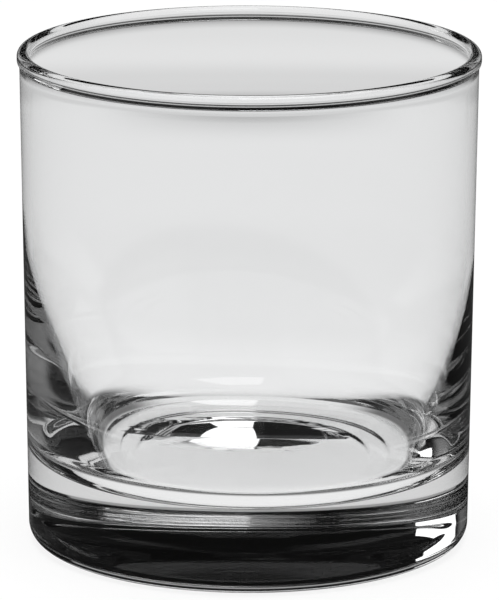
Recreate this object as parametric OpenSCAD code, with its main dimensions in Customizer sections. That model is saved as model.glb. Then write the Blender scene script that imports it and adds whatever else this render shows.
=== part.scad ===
// Rocks glass: a straight-sided tumbler with a heavy base and a beaded rim.
// One turned section is cut at two level planes into the base, the side wall and the rim bead.
// Lengths are in millimetres, +Z is up and the origin is on the axis, on the surface it stands on.

/* [Outside] */
// Height from the table to the top of the rim
glass_h = 90; // [80:1:110]
// Diameter of the rim at the widest part of its bead
rim_d = 83; // [78:0.5:92]
// Diameter of the outer wall carried down to the table
foot_d = 79.7; // [70:0.1:84]
// Radius of the rounded corner under the wall
corner_r = 3.2; // [1:0.1:6]

/* [Cavity] */
// Thickness of the straight upper wall, measured level
wall = 1.35; // [1:0.05:2.5]
// Height at which the wall starts to thicken downwards
bowl_top = 49.75; // [40:0.25:62]
// Radius of the long curve that thickens the wall
bowl_r = 98.7; // [80:0.1:150]
// Radius of the rounded heel between the long curve and the floor
heel_r = 8.2; // [4:0.1:12]
// Thickness of the base under the floor
base_h = 13.9; // [6:0.1:18]

/* [Underside] */
// Diameter of the shallow recess inside the ring that the glass stands on
recess_d = 58; // [44:1:64]
// Distance from the recess's outer edge to the edge of its inner step
recess_ring = 4.6; // [2:0.2:10]
// Height of each of the two steps
recess_step = 0.35; // [0.1:0.05:0.8]
// Width of the slope at each step
recess_slope = 1.2; // [0.4:0.1:2]

/* [Rim] */
// How far the bead stands proud of the wall, outside and inside
bead_step = 0.46; // [0.2:0.02:0.8]
// Radius of the fillets where the bead meets the wall
bead_fillet = 0.4; // [0.2:0.1:1]
// Height of the straight flank between the bead's upper and lower rounding
bead_flank = 0.5; // [0.1:0.1:1.5]

/* [Hidden] */
$fn = 144;

// How far a cutting shape reaches past the edge that it trims
past = 2;
// Depth of the strips that the sloping walls are drawn with
strip = 20;

// Rounding to three decimals: the solids keep six figures of each length, so every level plane is rounded like this
function near(v) = round(v * 1000) / 1000;

// Rim bead: a roll on top of the wall, a little taller than wide, with a fillet on each side that touches the roll and the wall
foot_r = foot_d / 2;
rim_r = rim_d / 2;
bead_r = wall / 2 + bead_step;
bead_mid = rim_r - bead_r;
bead_z = near(glass_h - bead_r);
bead_turn = near(bead_z - bead_flank);
fillet_out = wall / 2 + bead_fillet;
fillet_drop = sqrt(pow(bead_r + bead_fillet, 2) - pow(fillet_out, 2));
fillet_z = bead_turn - fillet_drop;
bead_join = near(bead_turn - fillet_drop * bead_r / (bead_r + bead_fillet));
bead_low = near(fillet_z);

// Straight wall: outer and inner radius at a height
taper = (rim_r - bead_step - foot_r) / bead_low;
taper_angle = atan(taper);
function outer_r(z) = foot_r + taper * z;
function inner_r(z) = outer_r(z) - wall;

// Rounded corner under the wall: centre, and the point where it meets the wall
corner_x = outer_r(corner_r) - corner_r / cos(taper_angle);
corner_top = near(corner_r * (1 - sin(taper_angle)));
corner_top_r = corner_x + sqrt(pow(corner_r, 2) - pow(corner_top - corner_r, 2));

// Long curve of the cavity, tangent to the straight inner wall at bowl_top
bowl_x = inner_r(bowl_top) - bowl_r * cos(taper_angle);
bowl_z = bowl_top + bowl_r * sin(taper_angle);

// Heel curve, tangent to the floor and to the long curve
heel_z = base_h + heel_r;
heel_x = bowl_x + sqrt(pow(bowl_r - heel_r, 2) - pow(heel_z - bowl_z, 2));
heel_angle = atan2(heel_z - bowl_z, heel_x - bowl_x);
heel_top = near(heel_z + heel_r * sin(heel_angle));

glass_tint = [0.86, 0.91, 0.93, 0.55];

// Rectangle between two radii and two heights
module span(r0, r1, z0, z1) {
    translate([r0, z0]) square([r1 - r0, z1 - z0]);
}

// Moves a shape in a coarse and a fine step, so that tangent curves still meet exactly in the solids
module put(x, z) {
    translate([near(x), near(z)]) translate([x - near(x), z - near(z)]) children();
}

// Disc about a point of the section
module disc(x, z, r, sides = $fn) {
    put(x, z) circle(r, $fn = sides);
}

// Strip inside a straight sloping line, from the line's lower end (r0, z0) to its upper end (r1, z1)
module wall_section(r0, z0, r1, z1, depth) {
    put(r0, z0) polygon([[-depth, 0], [0, 0], [r1 - r0, z1 - z0], [-depth, z1 - z0]]);
}

// Outside of the foot up to a height: flat bottom, round corner and tapered wall
module foot_section(top) {
    span(0, corner_x, 0, base_h);
    intersection() {
        disc(corner_x, corner_r, corner_r);
        span(corner_x, foot_r + past, -past, corner_top);
    }
    wall_section(corner_top_r, corner_top, outer_r(top), top, strip);
}

// Bottom of the cavity, from the floor up to the top of the heel curve
module floor_section() {
    span(0, heel_x, base_h, heel_top + past);
    intersection() {
        disc(heel_x, heel_z, heel_r);
        span(heel_x, foot_r, 0, heel_top + past);
    }
}

// One step of the recess under the base: a level disc with a sloping edge, from below the table up to a height
module step_section(edge_r, low, high) {
    polygon([[0, -past], [edge_r, -past], [edge_r, low], [edge_r - recess_slope, high], [0, high]]);
}

// Recess under the base, in two steps
module recess_section() {
    step_section(recess_d / 2, 0, recess_step);
    step_section(recess_d / 2 - recess_ring, recess_step, 2 * recess_step);
}

// Heavy base: foot, floor and heel
module base() {
    color(glass_tint)
    rotate_extrude()
    difference() {
        foot_section(heel_top);
        floor_section();
        recess_section();
    }
}

// Side wall: the curved thick part below, the straight thin part above
module side_wall() {
    color(glass_tint)
    rotate_extrude()
    difference() {
        wall_section(outer_r(heel_top), heel_top, outer_r(bead_low), bead_low, strip);
        intersection() {
            disc(bowl_x, bowl_z, bowl_r, 1440);
            span(0, rim_r, heel_top - past, bowl_top);
        }
        wall_section(inner_r(bowl_top), bowl_top, inner_r(bead_low + past), bead_low + past, 1.5 * strip);
    }
}

// Fire-polished bead round the rim: the roll, and below it the neck between the two fillets
module rim_bead() {
    color(glass_tint)
    rotate_extrude() {
        intersection() {
            disc(bead_mid, bead_z, bead_r);
            span(bead_mid - bead_r - past, rim_r + past, bead_z, glass_h + past);
        }
        span(bead_mid - bead_r, rim_r, bead_turn, bead_z);
        intersection() {
            disc(bead_mid, bead_turn, bead_r);
            span(bead_mid - bead_r - past, rim_r + past, bead_join, bead_turn);
        }
        difference() {
            span(bead_mid - fillet_out, bead_mid + fillet_out, bead_low, bead_join);
            disc(bead_mid - fillet_out, fillet_z, bead_fillet);
            disc(bead_mid + fillet_out, fillet_z, bead_fillet);
        }
    }
}

base();
side_wall();
rim_bead();
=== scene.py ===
# %% [markdown]
# # A rocks glass, turned from one section
# The object is a clear tumbler with a heavy base, a thin wall and a small bead round the rim. Glass has
# almost no colour of its own. What we see is the table and the room, bent by the glass, so this lesson is
# about two things: an exact section, and a room that is worth looking at through it. First the packed
# model is loaded, and its box is kept. The looks may not change the size.

import math

import bmesh
import bpy
from mathutils import Matrix, Vector


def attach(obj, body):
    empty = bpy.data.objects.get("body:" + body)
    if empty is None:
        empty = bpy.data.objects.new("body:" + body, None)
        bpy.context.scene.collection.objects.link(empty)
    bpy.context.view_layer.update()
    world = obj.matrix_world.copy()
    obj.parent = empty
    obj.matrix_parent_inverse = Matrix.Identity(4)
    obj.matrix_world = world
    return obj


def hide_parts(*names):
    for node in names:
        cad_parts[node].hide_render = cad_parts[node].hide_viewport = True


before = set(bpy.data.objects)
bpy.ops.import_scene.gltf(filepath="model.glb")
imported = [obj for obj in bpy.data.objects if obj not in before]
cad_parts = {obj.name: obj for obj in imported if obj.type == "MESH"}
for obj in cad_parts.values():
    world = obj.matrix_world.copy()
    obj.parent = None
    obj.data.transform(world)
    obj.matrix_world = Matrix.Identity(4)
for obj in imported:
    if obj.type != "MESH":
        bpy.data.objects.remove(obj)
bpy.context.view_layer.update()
scene = bpy.context.scene
MM = 0.001

# %% [markdown]
# ## The camera
# The photograph looks slightly down on the glass from a distance, through a long lens. The height of the
# rim's ellipse gives the angle, about 14 degrees, and the way the rim looks wider than the foot gives the
# distance. A camera could be turned by eye in the viewport, but numbers bring the edges within a pixel of
# the photograph. It aims a little below the middle of the glass, and it is rolled by a fraction of a
# degree, given in radians.

# %% Camera
VIEW_TILT, VIEW_ROLL = math.radians(13.95), 0.0025
VIEW_DISTANCE, LENS_MM, SENSOR_MM = 1.0, 332.7, 36
glass_middle = Vector((0, 0, 45 * MM))
camera_aim = Vector((0.14 * MM, 0, 43.8 * MM))

camera_data = bpy.data.cameras.new("photo_camera")
camera_data.sensor_width = SENSOR_MM
camera_data.lens = LENS_MM
camera = bpy.data.objects.new("photo_camera", camera_data)
scene.collection.objects.link(camera)
camera.location = glass_middle + VIEW_DISTANCE * Vector((0, -math.cos(VIEW_TILT), math.sin(VIEW_TILT)))
facing = (camera_aim - camera.location).to_track_quat("-Z", "Y").to_matrix()
camera.rotation_euler = (facing @ Matrix.Rotation(VIEW_ROLL, 3, "Z")).to_euler()
scene.camera = camera
print("camera at", [round(v, 3) for v in camera.location])

# %% [markdown]
# ## Drawing the section
# A glass like this is pressed or blown in a turned mould, so one section makes all of it. It could be cut
# from cylinders with Booleans, but those leave creases, which show in glass at once. We draw the section
# as a chain of edges in the XZ plane instead. A straight run is an extruded vertex, and a curve is a
# vertex that is spun round the curve's centre, which makes a true arc. Two small helpers do that. Each
# starts at the last vertex and hands back the new one.

# %% Helpers for the section
glass_bm = bmesh.new()


def run_to(start, r, z, steps):
    """Straight run of the section from a vertex to a radius and height, in equal steps."""
    along = (Vector((r, 0, z)) - start.co) / steps
    for _ in range(steps):
        made = bmesh.ops.extrude_vert_indiv(glass_bm, verts=[start])
        start = made["verts"][0]
        start.co += along
    return start


def turn_about(start, r, z, angle, steps):
    """Arc of the section: the vertex is spun about a centre. A positive angle turns from up to outwards."""
    made = bmesh.ops.spin(glass_bm, geom=[start], cent=(r, 0, z), axis=(0, 1, 0), angle=angle, steps=steps)
    return next(v for v in made["geom_last"] if isinstance(v, bmesh.types.BMVert))


print("section helpers ready")

# %% [markdown]
# ## The measures
# Most of these are the lengths of the CAD source, in metres. Two forms follow the photograph more closely
# than the CAD does. The long curve inside starts higher and is flatter, so the wall is up to 0.4 mm
# thicker, and the two steps under the base are 0.25 mm high instead of 0.35, and rounded.

# %% Measures of the section
GLASS_H, RIM_R, FOOT_R = 90 * MM, 41.5 * MM, 39.85 * MM
CORNER_R, WALL = 3.2 * MM, 1.35 * MM
BOWL_TOP, BOWL_R, HEEL_R, BASE_H = 54.5 * MM, 130 * MM, 8.2 * MM, 13.9 * MM
RECESS_R, RECESS_RING, RECESS_STEP, RECESS_SLOPE = 29 * MM, 4.6 * MM, 0.25 * MM, 2.3 * MM
BEAD_STEP, BEAD_FILLET, BEAD_FLANK = 0.46 * MM, 0.4 * MM, 0.5 * MM
print("glass is", round(GLASS_H / MM, 1), "mm high and", round(2 * RIM_R / MM, 1), "mm wide")

# %% [markdown]
# ## Curves that touch
# All other measures follow from one rule: neighbouring curves touch without a corner. So each centre is
# found from the line or the curve that it has to touch. Drawn by eye, the joints would have small kinks,
# and each kink would show as a ring of light. We start with the bead and the lean of the wall, because
# the wall ends at the bead.

# %% Bead and lean of the wall
bead_r = WALL / 2 + BEAD_STEP
bead_mid, bead_z = RIM_R - bead_r, GLASS_H - bead_r
bead_turn = bead_z - BEAD_FLANK
fillet_out = WALL / 2 + BEAD_FILLET
fillet_drop = math.sqrt((bead_r + BEAD_FILLET) ** 2 - fillet_out ** 2)
fillet_z = bead_turn - fillet_drop
fillet_turn = math.atan2(fillet_drop, fillet_out)
lean_of_wall = (RIM_R - BEAD_STEP - FOOT_R) / fillet_z
wall_angle = math.atan(lean_of_wall)


def outer_r(z):
    """Radius of the outer wall at a height."""
    return FOOT_R + lean_of_wall * z


print("wall leans out by", round(math.degrees(wall_angle), 2), "degrees")

# %% Corner, cavity and recess
corner_x = outer_r(CORNER_R) - CORNER_R / math.cos(wall_angle)
bowl_x = outer_r(BOWL_TOP) - WALL - BOWL_R * math.cos(wall_angle)
bowl_z = BOWL_TOP + BOWL_R * math.sin(wall_angle)
heel_z = BASE_H + HEEL_R
heel_x = bowl_x + math.sqrt((BOWL_R - HEEL_R) ** 2 - (heel_z - bowl_z) ** 2)
heel_angle = math.atan2(heel_z - bowl_z, heel_x - bowl_x)
step_r = (RECESS_SLOPE ** 2 + RECESS_STEP ** 2) / (4 * RECESS_STEP)
step_turn = 2 * math.atan2(RECESS_STEP, RECESS_SLOPE)
print("heel curve ends on the floor at a radius of", round(heel_x / MM, 2), "mm")

# %% [markdown]
# ## Underside, foot and outer wall
# The glass stands on a flat ring. Inside the ring the underside is recessed in two low steps, so that it
# doesn't rock. Each step is an S of two small arcs, and it shows through the floor as a dark arc, because
# its slope turns the line of sight away from the bright table. A bevelled groove would do that too, but
# with a hard edge. We start on the axis, come down the two steps, run over the ring and round the corner,
# and climb the outer wall.

# %% Underside and outer wall
at = glass_bm.verts.new((0, 0, 2 * RECESS_STEP))
for edge, top in ((RECESS_R - RECESS_RING, 2 * RECESS_STEP), (RECESS_R, RECESS_STEP)):
    at = run_to(at, edge - RECESS_SLOPE, top, steps=8)
    at = turn_about(at, edge - RECESS_SLOPE, top - step_r, step_turn, steps=5)
    at = turn_about(at, edge, top - RECESS_STEP + step_r, -step_turn, steps=5)
at = run_to(at, corner_x, 0, steps=6)
at = turn_about(at, corner_x, CORNER_R, wall_angle - math.pi / 2, steps=20)
at = run_to(at, outer_r(fillet_z), fillet_z, steps=40)
print("outer wall up to", round(at.co.z / MM, 2), "mm")

# %% [markdown]
# ## The rim bead
# The cut edge of the glass is melted smooth, and the soft glass gathers in a bead that is a little
# thicker than the wall. Its sides run straight for half a millimetre, so it is taller than wide. Below
# it, a fillet on each side touches the bead and the wall, so there is no crease. A bevel would only round
# the edge off. The underside of the bead draws the thin dark line round the rim, so the bead is drawn in
# full.

# %% Rim bead
at = turn_about(at, bead_mid + fillet_out, fillet_z, fillet_turn, steps=6)
at = turn_about(at, bead_mid, bead_turn, -fillet_turn, steps=8)
at = run_to(at, RIM_R, bead_z, steps=4)
at = turn_about(at, bead_mid, bead_z, -math.pi, steps=32)
at = run_to(at, bead_mid - bead_r, bead_turn, steps=4)
at = turn_about(at, bead_mid, bead_turn, -fillet_turn, steps=8)
at = turn_about(at, bead_mid - fillet_out, fillet_z, fillet_turn, steps=6)
print("bead is", round(2 * bead_r / MM, 2), "mm thick")

# %% [markdown]
# ## The cavity
# Inside, the wall is straight and thin above. Then a long curve thickens it downwards, and a rounded heel
# turns it into the flat floor. A Solidify modifier gives one thickness everywhere, which this glass
# hasn't, so the inside is drawn as carefully as the outside. The section ends on the axis.

# %% Inner wall, heel and floor
at = run_to(at, outer_r(BOWL_TOP) - WALL, BOWL_TOP, steps=24)
at = turn_about(at, bowl_x, bowl_z, -wall_angle - heel_angle, steps=40)
at = turn_about(at, heel_x, heel_z, heel_angle + math.pi / 2, steps=28)
at = run_to(at, 0, BASE_H, steps=16)
print("section has", len(glass_bm.verts), "points")

# %% [markdown]
# ## Turning the section
# A full spin about Z makes the solid. A Screw modifier could turn it as well, but the mesh is needed now,
# because the next steps move its points. The two points on the axis are copied at every step, so doubles
# are merged afterwards, which closes both poles, and the normals are recalculated to point out of the
# glass.

# %% Spin
TURN_STEPS, MERGE_WITHIN = 224, 0.002 * MM
section = glass_bm.verts[:] + glass_bm.edges[:]
bmesh.ops.spin(
    glass_bm, geom=section, cent=(0, 0, 0), axis=(0, 0, 1), angle=math.tau, steps=TURN_STEPS, use_merge=True
)
bmesh.ops.remove_doubles(glass_bm, verts=glass_bm.verts, dist=MERGE_WITHIN)
bmesh.ops.recalc_face_normals(glass_bm, faces=glass_bm.faces)
print("glass has", len(glass_bm.faces), "faces")

# %% [markdown]
# ## A cavity that leans
# The plunger of a glass press is never quite on the axis. In the photograph the left wall is thick and
# the right one thin, and they show that the floor of this cavity sits about one and a half millimetres
# off, to the right and the front. Proportional editing would do this by hand. In code, each ring of the
# lower cavity is shifted sideways, and the shift eases out where the wall gets thin.

# %% Lean
LEAN, LEAN_TOP = Vector((1.06 * MM, -1.0 * MM, 0)), 61.5 * MM
HAIR = 0.01 * MM


def ease(share):
    """Smooth step from 0 to 1."""
    return share * share * (3 - 2 * share)


cavity = [
    v for v in glass_bm.verts
    if BASE_H - HAIR < v.co.z < LEAN_TOP and v.co.xy.length < outer_r(v.co.z) - WALL / 2
]
for v in cavity:
    v.co += LEAN * ease((LEAN_TOP - v.co.z) / (LEAN_TOP - BASE_H))
print("shifted", len(cavity), "points of the cavity")

# %% [markdown]
# ## Steps that fade out
# In the photograph the two arcs of the recess are clear at the back of the floor, and they are lost
# towards the front. So the steps melt into one smooth hollow there. Turning can't make that, because it
# treats all sides alike. Each point of the underside is lifted or lowered a little instead, by how far it
# lies to the front.

# %% Fade of the steps
HOLLOW_R = 33 * MM
underside = [
    v for v in glass_bm.verts
    if v.co.z < 2 * RECESS_STEP + HAIR and v.co.xy.length < RECESS_R + HAIR
]
for v in underside:
    r = v.co.xy.length
    back_share = 0.5 if r < HAIR else min(max(v.co.y / r + 0.5, 0), 1)
    hollow = 2 * RECESS_STEP * ease(1 - r / HOLLOW_R)
    v.co.z += (hollow - v.co.z) * (1 - ease(back_share))
print("faded", len(underside), "points of the underside")

# %% [markdown]
# ## The glass as an object
# The mesh becomes an object at the origin. Smooth shading bends light evenly over the small faces. A
# Subdivision Surface modifier would smooth them too, but it would pull the curves off their radii. The
# section has no corner anywhere, so no edge is marked sharp.

# %% Make the object
for face in glass_bm.faces:
    face.smooth = True
glass_mesh = bpy.data.meshes.new("rocks_glass")
glass_bm.to_mesh(glass_mesh)
glass_bm.free()
rocks_glass = bpy.data.objects.new("rocks_glass", glass_mesh)
scene.collection.objects.link(rocks_glass)
print("made", rocks_glass.name)

# %% [markdown]
# ## Helpers for nodes
# Finishes and light are worked out in nodes here, from places, distances and angles. Wired one by one,
# the nodes would take most of this file, so a few helpers keep them readable. Each makes its nodes in a
# given tree and hands back the socket with the result, so that calls can be nested like sums.

# %% Helpers for numbers
def put_in(tree, socket, given):
    """Links a socket to another one, or sets it to a plain value."""
    if isinstance(given, bpy.types.NodeSocket):
        tree.links.new(given, socket)
    else:
        socket.default_value = given


def work_out(tree, operation, first, *others):
    """Joins sockets or plain numbers with Math nodes, from left to right."""
    total = first
    for other in others or (0.0,):
        node = tree.nodes.new("ShaderNodeMath")
        node.operation = operation
        put_in(tree, node.inputs[0], total)
        put_in(tree, node.inputs[1], other)
        total = node.outputs["Value"]
    return total


def fade(tree, value, low, high, to_low=0.0, to_high=1.0, kind="SMOOTHSTEP"):
    """Takes a value from one number to another between two limits."""
    node = tree.nodes.new("ShaderNodeMapRange")
    node.interpolation_type = kind
    for name, given in (("From Min", low), ("From Max", high), ("To Min", to_low), ("To Max", to_high)):
        node.inputs[name].default_value = given
    tree.links.new(value, node.inputs["Value"])
    return node.outputs["Result"]


print("helpers for numbers ready")


# %% Helpers for places
def work_out_vector(tree, operation, *vectors):
    """Joins sockets or plain vectors with one Vector Math node."""
    node = tree.nodes.new("ShaderNodeVectorMath")
    node.operation = operation
    for socket, given in zip(node.inputs, vectors):
        put_in(tree, socket, given)
    return node.outputs["Value" if operation == "LENGTH" else "Vector"]


def split(tree, vector):
    """The X, Y and Z of a vector."""
    node = tree.nodes.new("ShaderNodeSeparateXYZ")
    tree.links.new(vector, node.inputs["Vector"])
    return node.outputs["X"], node.outputs["Y"], node.outputs["Z"]


def noise(tree, place, scale, detail):
    """Soft noise at a place, with lumps as fine as the scale says."""
    node = tree.nodes.new("ShaderNodeTexNoise")
    node.inputs["Scale"].default_value = scale
    node.inputs["Detail"].default_value = detail
    tree.links.new(place, node.inputs["Vector"])
    return node.outputs["Fac"]


print("helpers for places ready")

# %% [markdown]
# ## Clear glass
# The Principled shader with a Transmission Weight of 1 is glass. The plain Glass shader would look alike,
# but other programs read only the Principled one. The IOR is 1.52, as soda-lime glass has, and the colour
# is almost white.

# %% Clear glass
GLASS_TINT, GLASS_IOR = (0.995, 0.998, 1.0, 1), 1.52
clear_glass = bpy.data.materials.new("clear_glass")
clear_glass.use_nodes = True
glass_tree = clear_glass.node_tree
glass_shader = glass_tree.nodes["Principled BSDF"]
glass_shader.inputs["Base Color"].default_value = GLASS_TINT
glass_shader.inputs["Transmission Weight"].default_value = 1.0
glass_shader.inputs["IOR"].default_value = GLASS_IOR
glass_shader.inputs["Roughness"].default_value = 0.0
rocks_glass.data.materials.append(clear_glass)
on_glass = glass_tree.nodes.new("ShaderNodeTexCoord").outputs["Object"]
_, glass_y, glass_z = split(glass_tree, on_glass)
print("glass IOR", GLASS_IOR)

# %% [markdown]
# ## Grey with depth
# Even clear glass takes some light on a long way, so the thick base looks greyer than the thin wall. A
# darker Base Color would darken both alike. Volume Absorption goes by the length of the way through the
# glass, as in life.

# %% Absorption
DEPTH_GREY, DEPTH_DENSITY = 0.5, 9
glass_depth = glass_tree.nodes.new("ShaderNodeVolumeAbsorption")
glass_depth.inputs["Color"].default_value = (DEPTH_GREY, DEPTH_GREY, DEPTH_GREY, 1)
glass_depth.inputs["Density"].default_value = DEPTH_DENSITY
glass_tree.links.new(glass_depth.outputs["Volume"], glass_tree.nodes["Material Output"].inputs["Volume"])
left_over = math.exp(-(1 - DEPTH_GREY) * DEPTH_DENSITY * 100 * MM)
print("light left after 100 mm of glass:", round(left_over, 2))

# %% [markdown]
# ## A veil of washing marks
# A used glass is never quite clean: a faint veil dulls it here and there. A painted mask could say where.
# A noise does it without one, and it changes the roughness so little that the glass stays clear.

# %% Veil
VEIL_SCALE, VEIL_DETAIL, VEIL_EDGE, VEIL_ROUGHNESS = 30, 4, (0.45, 0.75), 0.012
veil = noise(glass_tree, on_glass, VEIL_SCALE, VEIL_DETAIL)
veil_roughness = fade(glass_tree, veil, *VEIL_EDGE, 0.0, VEIL_ROUGHNESS, "LINEAR")
glass_tree.links.new(veil_roughness, glass_shader.inputs["Roughness"])
print("veil roughness up to", VEIL_ROUGHNESS)

# %% [markdown]
# ## The shear mark
# Molten glass is cut with shears before it drops into the mould, and the cut stays in the floor as a
# faint ragged mark, which reflects light in patches. It is too shallow to model, but its slope shows, so
# it becomes a tilt of the surface. This cell says where: in an ellipse on the floor, with an edge that
# stretched noise makes ragged.

# %% Shear mark
MARK_MIDDLE, MARK_SIZE = (-2.8 * MM, 2.2 * MM, BASE_H), (21 * MM, 10 * MM, 0.5 * MM)
MARK_TILT, MARK_EDGE, RAGGED = 0.1, (1.3, 1.45), 0.9
STREAKS, STREAK_DETAIL = (120, 520, 120), 3
streaks = noise(glass_tree, work_out_vector(glass_tree, "MULTIPLY", on_glass, STREAKS), 1.0, STREAK_DETAIL)
from_middle = work_out_vector(glass_tree, "SUBTRACT", on_glass, MARK_MIDDLE)
by_size = work_out_vector(glass_tree, "DIVIDE", from_middle, MARK_SIZE)
in_ellipse = work_out_vector(glass_tree, "LENGTH", by_size)
ragged = work_out(glass_tree, "ADD", work_out(glass_tree, "MULTIPLY", streaks, RAGGED), in_ellipse)
mark = fade(glass_tree, ragged, *MARK_EDGE, MARK_TILT, 0.0)
print("shear mark tilts the floor by", MARK_TILT, "radian")

# %% [markdown]
# ## The ridge in the mark
# Across the middle of the mark the glass is drawn up in a low ridge. Its back slope gets three times as
# steep towards the crest, and its front ends within a fraction of a millimetre. Without it, the bright
# patch that the mark reflects would have a gap. The tilt is then added to the surface's own normal. A
# Bump node could do that from a height, but here the slope is what we know.

# %% Ridge and tilt
RIDGE_WIDTH, RIDGE_GAIN, RIDGE_FRONT = 6 * MM, 2.0, (-0.4 * MM, -0.2 * MM)
TO_FRONT = (0, -1, 0)
ridge = work_out(
    glass_tree, "MULTIPLY",
    fade(glass_tree, glass_y, 0.0, RIDGE_WIDTH, RIDGE_GAIN, 0.0, "LINEAR"),
    fade(glass_tree, glass_y, *RIDGE_FRONT, 0.0, 1.0, "LINEAR"),
)
slope = work_out(glass_tree, "MULTIPLY", mark, work_out(glass_tree, "ADD", ridge, 1.0))
tilt = work_out_vector(glass_tree, "MULTIPLY", TO_FRONT, slope)
own_normal = glass_tree.nodes.new("ShaderNodeNewGeometry").outputs["Normal"]
tilted = work_out_vector(glass_tree, "NORMALIZE", work_out_vector(glass_tree, "ADD", own_normal, tilt))
print("ridge tilts up to", round(MARK_TILT * (1 + RIDGE_GAIN), 2), "radian")

# %% [markdown]
# ## Waves
# Pressed glass is never optically flat: a slow waviness makes the reflections in the base ragged. Moving
# the mesh would need many more faces, and a Bump node needs none. The flame that melts the rim also
# smooths the upper wall, so the waves get lower upwards.

# %% Waves
WAVE_SCALE, WAVE_DETAIL, WAVE_HEIGHT, WAVE_FADE = 55, 1, 0.04 * MM, (25 * MM, 70 * MM)
waves = noise(glass_tree, on_glass, WAVE_SCALE, WAVE_DETAIL)
lower_upwards = fade(glass_tree, glass_z, *WAVE_FADE, 1.0, 0.0, "LINEAR")
wave_bump = glass_tree.nodes.new("ShaderNodeBump")
wave_bump.inputs["Distance"].default_value = WAVE_HEIGHT
glass_tree.links.new(work_out(glass_tree, "MULTIPLY", waves, lower_upwards), wave_bump.inputs["Height"])
glass_tree.links.new(tilted, wave_bump.inputs["Normal"])
glass_tree.links.new(wave_bump.outputs["Normal"], glass_shader.inputs["Normal"])
print("glass material has", len(glass_tree.nodes), "nodes")

# %% [markdown]
# ## The light table
# Clear glass is photographed on a light table: a white sheet that glows from below, in a room that is
# left dark. The bright sheet fills the wall with light, and the dark room draws the black lines in the
# rim and in the base. A bright room with a plain floor would leave the glass almost invisible. The sheet
# is a large disc, a hair below the glass, because two surfaces in the same plane would flicker.

# %% Table disc
TABLE_R, TABLE_SIDES, AIR_GAP = 3.0, 96, 0.02 * MM
table_bm = bmesh.new()
bmesh.ops.create_circle(table_bm, cap_ends=True, radius=TABLE_R, segments=TABLE_SIDES)
bmesh.ops.translate(table_bm, verts=table_bm.verts, vec=(0, 0, -AIR_GAP))
table_mesh = bpy.data.meshes.new("table")
table_bm.to_mesh(table_mesh)
table_bm.free()
table = bpy.data.objects.new("table", table_mesh)
scene.collection.objects.link(table)
print("table radius", TABLE_R, "m")

# %% [markdown]
# ## The glow of the sheet
# A colour ramp gives the glow by the distance from the glass, as pairs of metres and strength. Lamps
# under the sheet could do it, but a ramp says directly how bright each ring is. It is strongest near the
# glass and ends in the dark. The dip at 0.4 m is a soft ring of shade, which shows as a faint grey band
# at the front of the rim.

# %% Glow by distance
GLOW_REACH = 0.8
GLOW = (
    (0.0, 1.0), (0.05, 1.0), (0.07, 0.96), (0.11, 0.87), (0.24, 0.82), (0.38, 0.81),
    (0.397, 0.65), (0.408, 0.67), (0.435, 0.775), (0.47, 0.74), (0.64, 0.3), (0.8, 0.05),
)
table_paint = bpy.data.materials.new("table_paint")
table_paint.use_nodes = True
table_tree = table_paint.node_tree
on_table = table_tree.nodes.new("ShaderNodeTexCoord").outputs["Object"]
distance = work_out_vector(table_tree, "LENGTH", on_table)
glow = table_tree.nodes.new("ShaderNodeValToRGB")
table_tree.links.new(work_out(table_tree, "DIVIDE", distance, GLOW_REACH), glow.inputs["Fac"])
glow.color_ramp.interpolation = "EASE"
stops = glow.color_ramp.elements
stops[1].position = 1.0
for reach, _ in GLOW[1:-1]:
    stops.new(reach / GLOW_REACH)
for stop, (_, value) in zip(stops, GLOW):
    stop.color = (value, value, value, 1)
print("glow has", len(stops), "stops")

# %% [markdown]
# ## Black cards
# A photographer lays black cards on the sheet beside the glass, out of the picture, so that the edges of
# clear glass show as dark lines. Two lie left and right, and one in front keeps the thick base black.
# Real cards have hard edges. These are part of the glow instead and fade out softly, so that other views
# show no hard bands. A card's sides go by the direction from the glass, as the sine of an angle or its
# square, and its ends by the distance.

# %% Cards
CARD_DIM, CARD_START = 0.88, (0.044, 0.05)
SIDE_EDGE, SIDE_END = (0.55, 0.77), (0.06, 0.14)
FRONT_EDGE, FRONT_END = (-0.5, -0.3), (0.065, 0.13)
table_x, table_y, _ = split(table_tree, on_table)
side_sine = work_out(table_tree, "DIVIDE", table_x, distance)
back_sine = work_out(table_tree, "DIVIDE", table_y, distance)
side_cards = work_out(
    table_tree, "MULTIPLY",
    fade(table_tree, work_out(table_tree, "MULTIPLY", side_sine, side_sine), *SIDE_EDGE),
    fade(table_tree, distance, *SIDE_END, 1.0, 0.0),
)
front_card = work_out(
    table_tree, "MULTIPLY",
    fade(table_tree, back_sine, *FRONT_EDGE, 1.0, 0.0),
    fade(table_tree, distance, *FRONT_END, 1.0, 0.0),
)
cards = work_out(
    table_tree, "MULTIPLY",
    work_out(table_tree, "MAXIMUM", side_cards, front_card),
    fade(table_tree, distance, *CARD_START, 0.0, CARD_DIM),
)
print("cards take", CARD_DIM, "of the glow")
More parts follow.
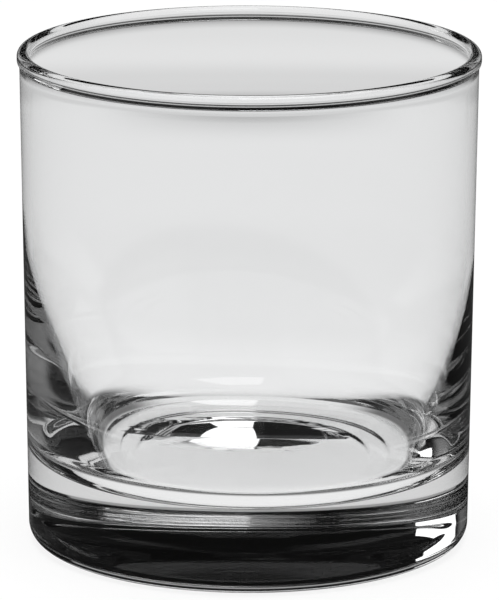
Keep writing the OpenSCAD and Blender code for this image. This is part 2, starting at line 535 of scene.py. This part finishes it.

# %% [markdown]
# ## Painted shade on the sheet
# Two soft shades are painted into the glow as well. A painted shadow of the foot lies in a narrow ring,
# except behind, where the light comes from. The other is painted shade some way behind the glass, with no
# object there to throw it: a small wedge that is darkest in the middle, and it shows as a soft grey patch
# just below the front of the rim. Real objects could throw both, but their exact softness is easier to
# write.

# %% Painted shade
# strengths and limits of the painted foot shadow and of the painted shade behind the glass
FOOT_SHADE, FOOT_INSIDE, FOOT_OUTSIDE, FOOT_BACK = 0.8, (0.036, 0.039), (0.044, 0.052), (0.7, 0.92)
BEHIND_SHADE, BEHIND_NEAR, BEHIND_FAR, BEHIND_HALF_WIDTH = 0.4, (0.33, 0.378), (0.384, 0.396), 0.056
# painted shadow of the foot: a narrow ring of shade in the glow, none behind
foot_shade = work_out(
    table_tree, "MULTIPLY",
    fade(table_tree, distance, *FOOT_INSIDE),
    fade(table_tree, distance, *FOOT_OUTSIDE, 1.0, 0.0),
    fade(table_tree, back_sine, *FOOT_BACK, FOOT_SHADE, 0.0),
)
# painted shade behind the glass: a soft wedge, with no object in the scene to throw it
painted_shade_behind = work_out(
    table_tree, "MULTIPLY",
    fade(table_tree, table_y, *BEHIND_NEAR),
    fade(table_tree, table_y, *BEHIND_FAR, 1.0, 0.0),
    fade(table_tree, work_out(table_tree, "ABSOLUTE", table_x), 0.0, BEHIND_HALF_WIDTH, BEHIND_SHADE, 0.0),
)
lit_here = glow.outputs["Color"]
for shade in (cards, foot_shade, painted_shade_behind):
    lit_here = work_out(table_tree, "MULTIPLY", lit_here, work_out(table_tree, "SUBTRACT", 1.0, shade))
print("shades take up to", FOOT_SHADE, "and", BEHIND_SHADE, "of the glow")

# %% [markdown]
# ## Who sees what
# A ray that comes through the glass sees the glow. A ray that the glass only mirrors sees almost none of
# it, as through a polarising filter, so the black of the base stays black. The camera itself sees a white
# sheet, mixed with a plain white paint that keeps the soft shadow of the glass. The Light Path node tells
# these rays apart. More lamps could make the sheet white too, but they would also wash out the glass.

# %% Glowing sheet
MIRRORED = 0.05
path = table_tree.nodes.new("ShaderNodeLightPath")
seen_straight = path.outputs["Is Camera Ray"]
seen_through = fade(table_tree, path.outputs["Is Transmission Ray"], 0, 1, MIRRORED, 1.0)
glow_seen = work_out(table_tree, "MULTIPLY", lit_here, seen_through)
sheet = table_tree.nodes.new("ShaderNodeEmission")
table_tree.links.new(work_out(table_tree, "MAXIMUM", glow_seen, seen_straight), sheet.inputs["Strength"])
print("mirrored rays see", MIRRORED, "of the glow")

# %% White paint
PAINT_SHARE = 0.12
paint = table_tree.nodes["Principled BSDF"]
paint.inputs["Base Color"].default_value = (1, 1, 1, 1)
paint.inputs["Roughness"].default_value = 1.0
paint.inputs["Specular IOR Level"].default_value = 0.0
sheet_share = work_out(
    table_tree, "MAXIMUM",
    work_out(table_tree, "MULTIPLY", seen_straight, 1 - PAINT_SHARE), path.outputs["Is Glossy Ray"],
)
sheet_or_paint = table_tree.nodes.new("ShaderNodeMixShader")
put_in(table_tree, sheet_or_paint.inputs["Fac"], sheet_share)
put_in(table_tree, sheet_or_paint.inputs[1], paint.outputs["BSDF"])
put_in(table_tree, sheet_or_paint.inputs[2], sheet.outputs["Emission"])
put_in(table_tree, table_tree.nodes["Material Output"].inputs["Surface"], sheet_or_paint.outputs["Shader"])
table_paint.cycles.emission_sampling = "NONE"
table.data.materials.append(table_paint)
print("table material has", len(table_tree.nodes), "nodes")

# %% [markdown]
# ## Directions in the room
# The rest of the room is the world, which is all around. An image of a studio could fill it, but then
# nothing could be moved. We describe each soft box by its direction instead: an azimuth, from the back
# towards the right, and an elevation. The azimuth from the front is a second measure, because the first
# one jumps there.

# %% Directions
world = bpy.data.worlds.new("studio")
scene.world = world
world.use_nodes = True
room_tree = world.node_tree
to_right, to_back, upwards = split(room_tree, room_tree.nodes.new("ShaderNodeTexCoord").outputs["Generated"])
azimuth = work_out(room_tree, "ARCTAN2", to_right, to_back)
front_azimuth = work_out(
    room_tree, "ARCTAN2",
    work_out(room_tree, "SUBTRACT", 0.0, to_right), work_out(room_tree, "SUBTRACT", 0.0, to_back),
)
elevation = work_out(room_tree, "ARCSINE", upwards)


def rise(angle, low, high, to_low=0.0, to_high=1.0):
    """Smooth step between two angles in degrees."""
    return fade(room_tree, angle, math.radians(low), math.radians(high), to_low, to_high)


def box(angle, left, right, low, high, strength, soft):
    """A soft box between two azimuths and two elevations, in degrees, with edges as wide as soft."""
    return work_out(
        room_tree, "MULTIPLY",
        rise(angle, left - soft, left), rise(angle, right, right + soft, 1.0, 0.0),
        rise(elevation, low - soft, low, 0.0, strength), rise(elevation, high, high + soft, 1.0, 0.0),
    )


print("directions ready")

# %% [markdown]
# ## Soft boxes
# The room is dark, and a little lighter at table height and straight above. A pale strip stands low at
# the back, one soft box hangs above the back, and a brighter one above the front on the right. A small
# box with a slanting top stands low at the back on the left, and two faint ones light the thick wall from
# the sides. Seen through the base, each of them becomes a pale patch or line. The camera itself sees
# plain white.

# %% Large soft boxes
room = rise(elevation, 0, 4, to_low=0.04, to_high=0.004)
zenith = rise(elevation, 78, 84, to_low=0.0, to_high=0.45)
back_strip = box(azimuth, left=-58, right=40, low=-3, high=5, strength=0.45, soft=3)
back_box = box(azimuth, left=-40, right=40, low=50, high=80, strength=0.6, soft=4)
top_box = box(front_azimuth, left=-52, right=6, low=52, high=77, strength=2.1, soft=2)
print("nodes for the large boxes:", len(room_tree.nodes))

# %% Small soft boxes
TOP_SLANT = 0.36
slant = work_out(room_tree, "ADD", elevation, work_out(room_tree, "MULTIPLY", azimuth, TOP_SLANT))
low_box = work_out(
    room_tree, "MULTIPLY",
    box(azimuth, left=-65, right=-39.5, low=15, high=26, strength=2.2, soft=0.5),
    rise(slant, 2.7, 3.1, to_low=1.0, to_high=0.0),
)
right_box = box(azimuth, left=90, right=135, low=6, high=30, strength=0.3, soft=15)
left_box = box(azimuth, left=-160, right=-74, low=12, high=42, strength=0.28, soft=8)
print("nodes with the small boxes:", len(room_tree.nodes))

# %% World
all_light = work_out(
    room_tree, "ADD", room, zenith, back_strip, back_box, top_box, low_box, right_box, left_box
)
camera_ray = room_tree.nodes.new("ShaderNodeLightPath").outputs["Is Camera Ray"]
background = room_tree.nodes["Background"]
background.inputs["Color"].default_value = (1, 1, 1, 1)
put_in(room_tree, background.inputs["Strength"], work_out(room_tree, "MAXIMUM", all_light, camera_ray))
print("world has", len(room_tree.nodes), "nodes")

# %% [markdown]
# ## The lamp
# One wide lamp overhead lights the paint at a plain level: white paint below it renders just white. A sun
# lamp would draw a hard shadow, and a wide disc draws a soft one. It is kept out of the glass, because
# the glow and the room are all that the glass should show.

# %% Lamp
LAMP_SIZE, LAMP_HEIGHT, LAMP_WATTS = 1.2, 1.6, 29
lamp_data = bpy.data.lights.new("overhead_lamp", "AREA")
lamp_data.shape = "DISK"
lamp_data.size = LAMP_SIZE
lamp_data.energy = LAMP_WATTS
lamp = bpy.data.objects.new("overhead_lamp", lamp_data)
lamp.location = (0, 0, LAMP_HEIGHT)
lamp.visible_glossy = False
lamp.visible_transmission = False
scene.collection.objects.link(lamp)
print("lamp of", LAMP_WATTS, "W at", LAMP_HEIGHT, "m")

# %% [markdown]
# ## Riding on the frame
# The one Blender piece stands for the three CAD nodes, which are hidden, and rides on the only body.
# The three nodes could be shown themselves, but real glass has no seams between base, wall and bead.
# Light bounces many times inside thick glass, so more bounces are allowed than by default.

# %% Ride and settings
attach(rocks_glass, "root")
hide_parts("base", "side_wall", "rim_bead")

ALL_BOUNCES, GLASS_BOUNCES = 32, 24
scene.view_settings.view_transform = "Standard"
scene.cycles.max_bounces = ALL_BOUNCES
scene.cycles.glossy_bounces = GLASS_BOUNCES
scene.cycles.transmission_bounces = GLASS_BOUNCES
print("bounces", ALL_BOUNCES)
